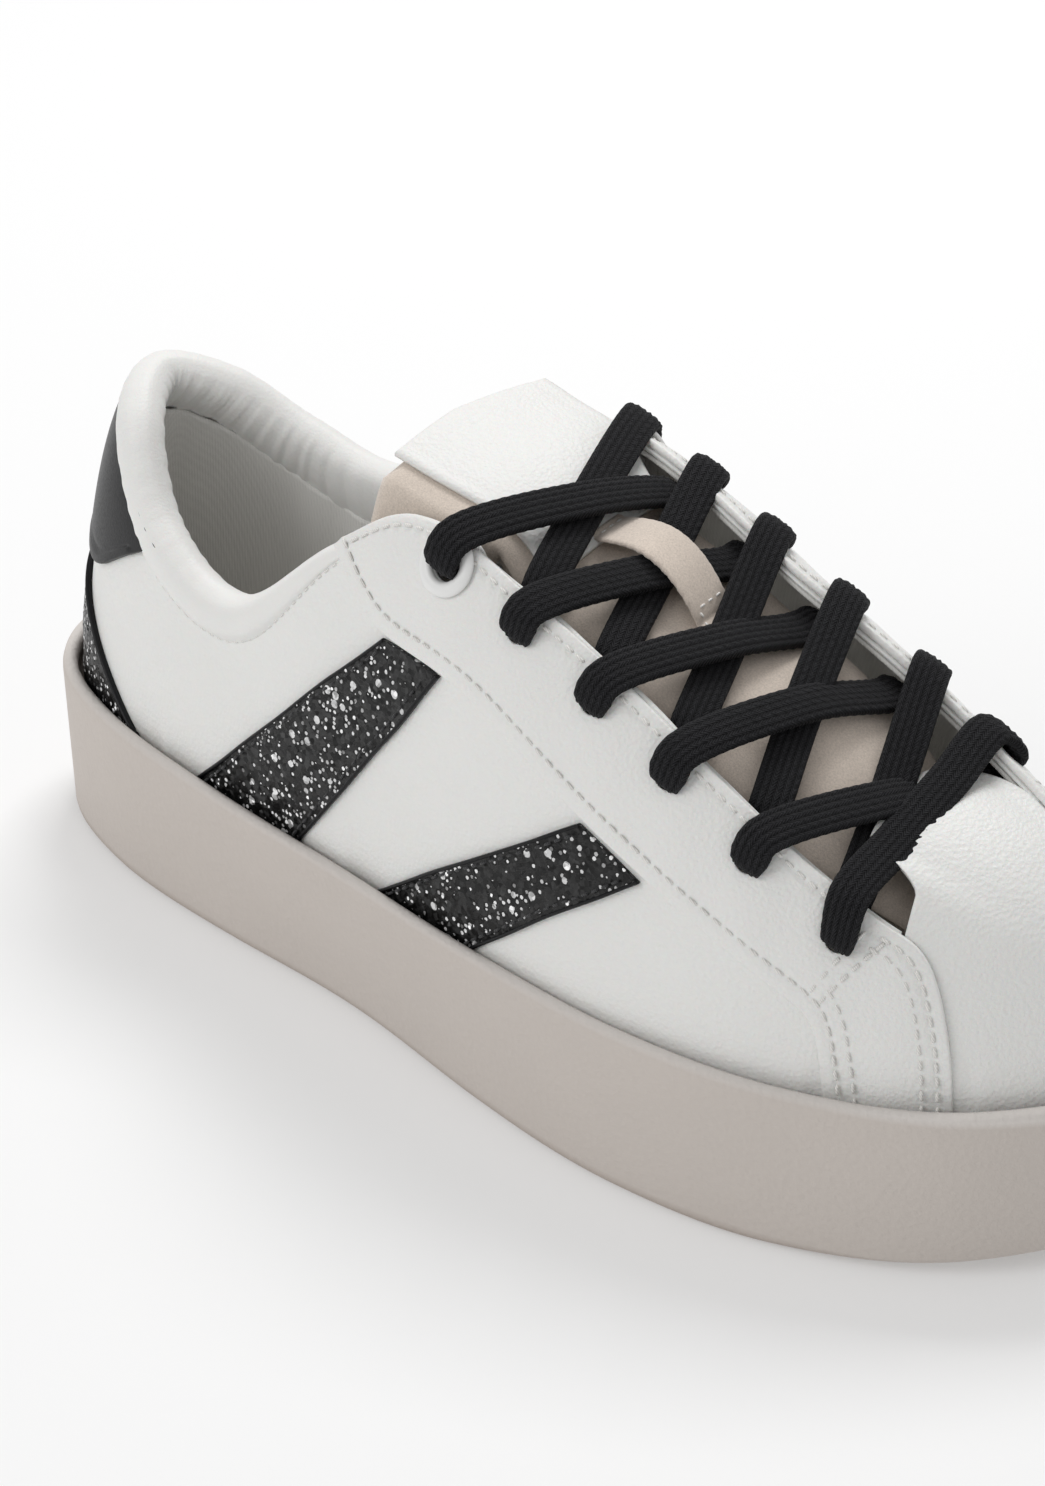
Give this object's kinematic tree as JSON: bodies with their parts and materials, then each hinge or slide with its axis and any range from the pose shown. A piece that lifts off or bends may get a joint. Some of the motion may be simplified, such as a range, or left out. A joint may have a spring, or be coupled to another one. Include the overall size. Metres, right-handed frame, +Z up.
{
  "type": "cheer shoe",
  "caption": "Low-cut lace-up cheer shoe with a rubber cupsole, padded collar, glitter side bands and a flat braided lace; right foot of a pair.",
  "frame": {"origin": "on the ground, under the middle of the sole's bounding box", "axes": "+X towards the toe, +Y towards the inner (medial) side, +Z up"},
  "size_m": [0.276, 0.095, 0.1224],
  "materials": {
    "rubber": "matte, fine pebble",
    "midsole": "matte",
    "board": "matte",
    "footbed": "matte textile",
    "white_leather": "fine grain, low sheen",
    "black_leather": "smooth, low sheen",
    "glitter": "chunky glitter flakes",
    "stiffener": "matte",
    "foam": "matte",
    "lining": "matte textile",
    "suede": "suede",
    "eyelet": "satin",
    "lace": "braided",
    "lace_tip": "gloss"
  },
  "bodies": {
    "shoe": {"cupsole": "rubber", "midsole_foam": "midsole", "lasting_board": "board", "footbed": "footbed", "vamp": "white_leather", "toe_puff": "stiffener", "vamp_lining": "lining", "quarter_lateral": "white_leather", "quarter_medial": "white_leather", "collar_lining": "lining", "heel_stiffener": "stiffener", "collar_foam": "foam", "heel_tab": "black_leather", "heel_glitter_counter": "glitter", "eyestay_lateral": "white_leather", "eyestay_medial": "white_leather", "glitter_band_rear_lateral": "glitter", "glitter_band_front_lateral": "glitter", "glitter_band_rear_medial": "glitter", "glitter_band_front_medial": "glitter", "eyelet_ring_lateral": "eyelet", "eyelet_washer_lateral": "eyelet", "eyelet_ring_medial": "eyelet", "eyelet_washer_medial": "eyelet", "tongue_face": "suede", "tongue_foam": "foam", "tongue_lining": "lining", "lace_keeper": "suede", "lace": "lace", "lace_tag_lateral": "lace_tip", "lace_tag_medial": "lace_tip"},
    "tongue_tip": {"tongue_tip_face": "suede", "tongue_tip_foam": "foam", "tongue_tip_lining": "lining", "tongue_label": "white_leather"}
  },
  "joints": [
    {"name": "tongue_flex", "type": "hinge", "parent": "shoe", "child": "tongue_tip", "pos_m": [-0.012, -0.003, 0.1115], "axis": [0, 1, 0], "range_deg": [-6, 30], "stiffness_Nm_per_rad": 0.15}
  ]
}
